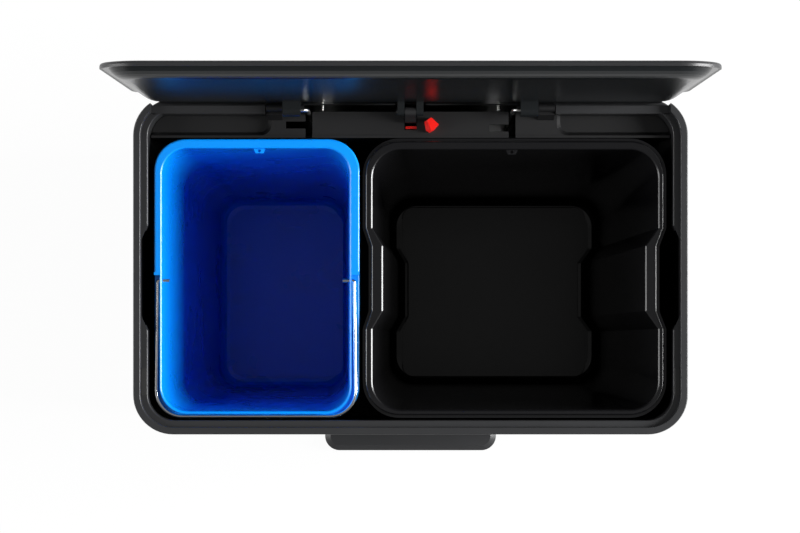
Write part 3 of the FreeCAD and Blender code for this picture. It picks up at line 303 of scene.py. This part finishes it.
def screw_tree(material):
    """Instances a pan head with a cross recess, and its shank, on points that carry their way."""
    tree = bpy.data.node_groups.new("cross_recess_screws", "GeometryNodeTree")
    tree.interface.new_socket("Points", in_out="INPUT", socket_type="NodeSocketGeometry")
    for size in ("Head Radius", "Head Height", "Shank Radius", "Shank Length",
                 "Recess Span", "Recess Width", "Recess Depth"):
        tree.interface.new_socket(size, in_out="INPUT", socket_type="NodeSocketFloat")
    tree.interface.new_socket("Geometry", in_out="OUTPUT", socket_type="NodeSocketGeometry")
    nodes = Nodes(tree)

    def given(name):
        return nodes.add("NodeGroupInput", output=name)

    def round_bar(sides, radius, length):
        values = {"Vertices": sides, "Radius": given(radius), "Depth": given(length)}
        return nodes.add("GeometryNodeMeshCylinder", None, values)

    def lowered(mesh, drop):
        place = nodes.add("ShaderNodeCombineXYZ", None, {"Z": drop * -1.0})
        return nodes.add("GeometryNodeTransform", None, {"Geometry": mesh, "Translation": place})

    def cutter(along, across):
        """Bar of one arm pair, half above the head's face and as deep as the recess below it."""
        size = nodes.add("ShaderNodeCombineXYZ", None,
                         {"X": given(along), "Y": given(across), "Z": given("Recess Depth") * 2.0})
        return nodes.add("GeometryNodeMeshCube", None, {"Size": size})

    head = lowered(round_bar(HEAD_SIDES, "Head Radius", "Head Height"), given("Head Height") * 0.5)
    shank = lowered(round_bar(SHANK_SIDES, "Shank Radius", "Shank Length"), given("Shank Length") * 0.5)
    arms = [cutter("Recess Span", "Recess Width"), cutter("Recess Width", "Recess Span")]
    cross = nodes.add("GeometryNodeMeshBoolean", {"operation": "UNION", "solver": "EXACT"}, {"Mesh 2": arms})
    recessed = nodes.add("GeometryNodeMeshBoolean", {"operation": "DIFFERENCE", "solver": "EXACT"},
                         {"Mesh 1": head, "Mesh 2": cross})
    screw = nodes.add("GeometryNodeJoinGeometry", None,
                      {"Geometry": [recessed, lowered(shank, given("Head Height"))]})
    way = nodes.add("GeometryNodeInputNamedAttribute", {"data_type": "FLOAT_VECTOR"}, {"Name": "way"})
    turn = nodes.add("FunctionNodeAlignRotationToVector", {"axis": "Z"}, {"Vector": way})
    placed = nodes.add("GeometryNodeInstanceOnPoints", None,
                       {"Points": given("Points"), "Instance": screw, "Rotation": turn})
    real = nodes.add("GeometryNodeRealizeInstances", None, {"Geometry": placed})
    dressed = nodes.add("GeometryNodeSetMaterial", None, {"Geometry": real, "Material": material})
    nodes.add("NodeGroupOutput", None, {"Geometry": dressed})
    return tree


def points_with_ways(name, places):
    """A mesh of bare points, one for each screw, that carry the way its head looks."""
    seeds = bpy.data.meshes.new(name)
    seeds.from_pydata([place for place, _ in places], [], [])
    ways = seeds.attributes.new("way", "FLOAT_VECTOR", "POINT")
    for i, (_, way) in enumerate(places):
        ways.data[i].vector = way
    return seeds


def plain_mesh(name, seeds, tree, values):
    """Runs a Geometry Nodes tree on a seed mesh and returns the result as a plain piece."""
    carrier = bpy.data.objects.new(name, seeds)
    bpy.context.collection.objects.link(carrier)
    grown = carrier.modifiers.new("grown", "NODES")
    grown.node_group = tree
    for item in tree.interface.items_tree:
        if item.in_out == "INPUT" and item.name in values:
            grown[item.identifier] = values[item.name]
    bpy.context.view_layer.update()
    made = bpy.data.meshes.new_from_object(carrier.evaluated_get(bpy.context.evaluated_depsgraph_get()))
    carrier.modifiers.clear()
    carrier.data = made
    return carrier


screws = screw_tree(plated)
for group, body in SCREW_BODIES.items():
    solids = islands(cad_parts[group].data)
    places = [head_of(points) for points in solids]
    reach = max((p - face).length for points, (face, _) in zip(solids, places) for p in points)
    shank = math.sqrt(reach ** 2 - SCREW_SHANK_R ** 2) - SCREW_HEAD_H
    piece = plain_mesh(group + "_crossed", points_with_ways(group, places), screws, {
        "Head Radius": SCREW_HEAD_R, "Head Height": SCREW_HEAD_H,
        "Shank Radius": SCREW_SHANK_R, "Shank Length": shank,
        "Recess Span": RECESS_SPAN, "Recess Width": RECESS_WIDTH, "Recess Depth": RECESS_DEPTH})
    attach(piece, body)
    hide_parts(group)

# ---------------------------------------------------------------------------
# Floor: a pale, dull sheet under the bin, metres wide, that isn't part of it.
# The camera and shiny pieces see it as near white, while it bounces light as
# pale card does.

FLOOR_SIZE = 30.0
FLOOR_GREY = 0.82
FLOOR_ROUGHNESS = 0.9
FLOOR_GLOW = 0.96
WHITE = (1, 1, 1, 1)
bpy.ops.mesh.primitive_plane_add(size=FLOOR_SIZE, location=(0, 0, cad_low.z))
floor = bpy.context.object
floor.name = "floor"
card = Paint("pale_floor", Base_Color=(FLOOR_GREY, FLOOR_GREY, FLOOR_GREY, 1.0), Roughness=FLOOR_ROUGHNESS)
looked_at = card.add("ShaderNodeMath", {"operation": "MAXIMUM"},
                     [card.add("ShaderNodeLightPath", output="Is Camera Ray"),
                      card.add("ShaderNodeLightPath", output="Is Glossy Ray")])
glow = card.add("ShaderNodeEmission", None, {"Color": WHITE, "Strength": 1.0})
lit = Term(card, card.tree.nodes[Paint.SURFACE].outputs[0])
shown = card.add("ShaderNodeMixShader", None, [looked_at * FLOOR_GLOW, lit, glow])
card.feed("Material Output", "Surface", shown)
floor.data.materials.append(card.material)

# ---------------------------------------------------------------------------
# Studio: two low softboxes at the sides, the right one the stronger, under a
# dim ceiling whose flanks are brighter.

SOFTBOX_WIDTH, SOFTBOX_DEPTH = 1.0, 2.6
SOFTBOX_AIM = Vector((0, 0, 0.6))
ZENITH, HORIZON, FLANK = 0.2, 0.11, 0.9


def softbox(name, at, watts):
    """An oblong lamp that looks at the top of the bin."""
    lamp = bpy.data.lights.new(name, "AREA")
    lamp.shape, lamp.size, lamp.size_y, lamp.energy = "RECTANGLE", SOFTBOX_WIDTH, SOFTBOX_DEPTH, watts
    holder = bpy.data.objects.new(name, lamp)
    bpy.context.collection.objects.link(holder)
    holder.location = at
    holder.rotation_euler = (SOFTBOX_AIM - Vector(at)).to_track_quat("-Z", "Y").to_euler()


softbox("right_softbox", at=(3.0, 0.0, 2.05), watts=265)
softbox("left_softbox", at=(-3.0, -0.1, 1.95), watts=62)

world = bpy.data.worlds.new("studio")
bpy.context.scene.world = world
world.use_nodes = True
sky = Nodes(world.node_tree)
facing = sky.add("ShaderNodeTexCoord", output="Generated")
across = sky.add("ShaderNodeSeparateXYZ", None, [facing], output="X")
height = sky.add("ShaderNodeSeparateXYZ", None, [facing], output="Z")
brightness = height * height * (ZENITH - HORIZON) + across * across * across * across * FLANK + HORIZON
sky.feed("Background", "Strength", brightness)
sky.tree.nodes["Background"].inputs["Color"].default_value = WHITE

# ---------------------------------------------------------------------------
# Camera: it looks straight down at the open bin, as the photograph does.
# The optical centre is where its axis meets the picture, in pixels from the
# top left, and the focal length is in pixels of the same picture.

PHOTO_W, PHOTO_H = 800, 533
OPTICAL_X, OPTICAL_Y = 410.5, 343.0
FOCAL_PX = 2556.0
SENSOR_MM = 36.0
CAMERA_ABOVE_RIM = 2.556
CAMERA_FORWARD_OF_CASING = -0.078
FAR_CLIP = 100.0
rim_low, rim_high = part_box("top_rim")
casing_y = (rim_low.y + rim_high.y) / 2
view = bpy.data.cameras.new("photo_camera")
view.sensor_width = SENSOR_MM
view.lens = FOCAL_PX / PHOTO_W * SENSOR_MM
view.shift_x = (PHOTO_W / 2 - OPTICAL_X) / PHOTO_W
view.shift_y = (OPTICAL_Y - PHOTO_H / 2) / PHOTO_W
view.clip_end = FAR_CLIP
camera = bpy.data.objects.new("photo_camera", view)
bpy.context.collection.objects.link(camera)
camera.location = (0.0, casing_y + CAMERA_FORWARD_OF_CASING, rim_high.z + CAMERA_ABOVE_RIM)
bpy.context.scene.camera = camera
bpy.context.scene.view_settings.view_transform = "Standard"
